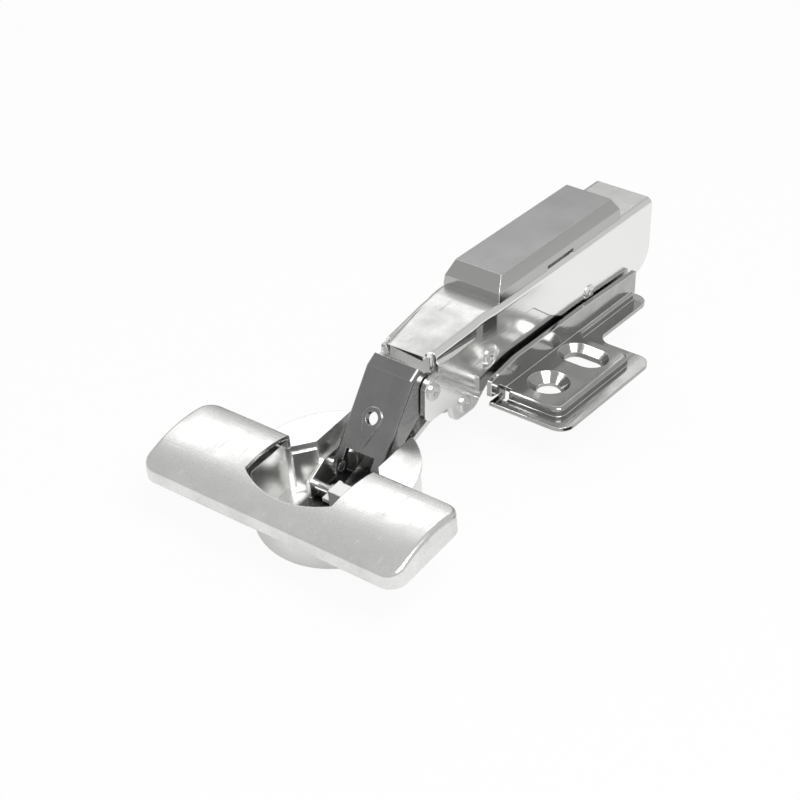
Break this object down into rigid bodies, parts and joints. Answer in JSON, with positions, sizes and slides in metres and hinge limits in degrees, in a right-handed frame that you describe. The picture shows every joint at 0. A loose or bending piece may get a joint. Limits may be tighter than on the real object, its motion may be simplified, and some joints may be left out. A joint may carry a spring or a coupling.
{
  "type": "soft-close concealed cabinet hinge",
  "caption": "Soft-close concealed cabinet hinge with 35 mm cup, two-link arm and pressed mounting plate, open at 97 degrees.",
  "frame": {"origin": "underside of the mounting plate, midway between its two round screw holes", "axes": "+X forward from the plate to the door cup, +Y across the plate to one wing, +Z out of the cabinet side on which the plate is screwed"},
  "size_m": [0.131, 0.0648, 0.038],
  "materials": {
    "plated_sheet": "polished nickel plate",
    "satin_plate": "satin nickel plate",
    "dark_link": "dark satin nickel plate",
    "cap_grey": "satin nickel plate",
    "rivet_steel": "polished",
    "zinc_screw": "zinc plate",
    "spring_steel": "oiled wire",
    "damper_plastic": "moulded",
    "damper_metal": "drawn tube"
  },
  "bodies": {
    "plate": {"mounting_plate": "plated_sheet"},
    "bracket": {"adapter_bracket": "satin_plate"},
    "depth_adjuster": {"depth_screw": "zinc_screw"},
    "overlay_adjuster": {"overlay_screw": "zinc_screw"},
    "arm": {"hinge_arm": "plated_sheet", "arm_cover_cap": "cap_grey", "outer_link_rivet": "rivet_steel", "inner_link_rivet": "rivet_steel", "spring_rivet": "rivet_steel", "arm_tilt_rivet": "rivet_steel", "damper_cylinder": "damper_metal", "damper_end_cap": "damper_plastic", "damper_housing": "damper_plastic", "closing_spring": "spring_steel"},
    "damper_stem": {"damper_rod": "damper_metal"},
    "front_link": {"outer_link": "dark_link"},
    "rear_link": {"inner_link": "satin_plate"},
    "cup": {"hinge_cup": "plated_sheet", "cup_insert": "satin_plate", "cup_cover": "satin_plate", "outer_cup_pins": "rivet_steel", "inner_cup_pin": "rivet_steel"}
  },
  "joints": [
    {"name": "depth_slide", "type": "slide", "parent": "plate", "child": "bracket", "axis": [1, 0, 0], "range_m": [-0.0015, 0.0015]},
    {"name": "depth_screw_turn", "type": "hinge", "parent": "bracket", "child": "depth_adjuster", "pos_m": [-0.0365, 0, 0.004], "axis": [0, 0, 1], "range_deg": [-270, 270]},
    {"name": "overlay_screw_turn", "type": "hinge", "parent": "bracket", "child": "overlay_adjuster", "pos_m": [-0.008, 0, 0.01], "axis": [0, 0, 1], "range_deg": [-270, 270]},
    {"name": "overlay_tilt", "type": "hinge", "parent": "bracket", "child": "arm", "pos_m": [-0.028, 0, 0.0094], "axis": [0, -1, 0], "range_deg": [-1.2, 1.2]},
    {"name": "front_link_swing", "type": "hinge", "parent": "arm", "child": "front_link", "pos_m": [0.0306, 0, 0.0128], "axis": [0, -1, 0], "range_deg": [0, 16.5]},
    {"name": "cup_swing", "type": "hinge", "parent": "front_link", "child": "cup", "pos_m": [0.04563, 0, -0.00239], "axis": [0, -1, 0], "range_deg": [0, 80.5]},
    {"name": "rear_link_swing", "type": "hinge", "parent": "cup", "child": "rear_link", "pos_m": [0.05119, 0, -0.00488], "axis": [0, -1, 0], "range_deg": [-73.2, 0]},
    {"name": "damper_stroke", "type": "slide", "parent": "arm", "child": "damper_stem", "axis": [-1, 0, 0], "range_m": [0, 0.0024]}
  ],
  "couplings": [
    {"joint": "depth_screw_turn", "follows": "depth_slide", "rad_per_m": 3141.6},
    {"joint": "overlay_screw_turn", "follows": "overlay_tilt", "ratio": 225},
    {"joint": "front_link_swing", "follows": "cup_swing", "ratio": 0.20497},
    {"joint": "rear_link_swing", "follows": "cup_swing", "ratio": -0.90932},
    {"joint": "damper_stroke", "follows": "cup_swing", "m_per_rad": 0.0017082}
  ]
}
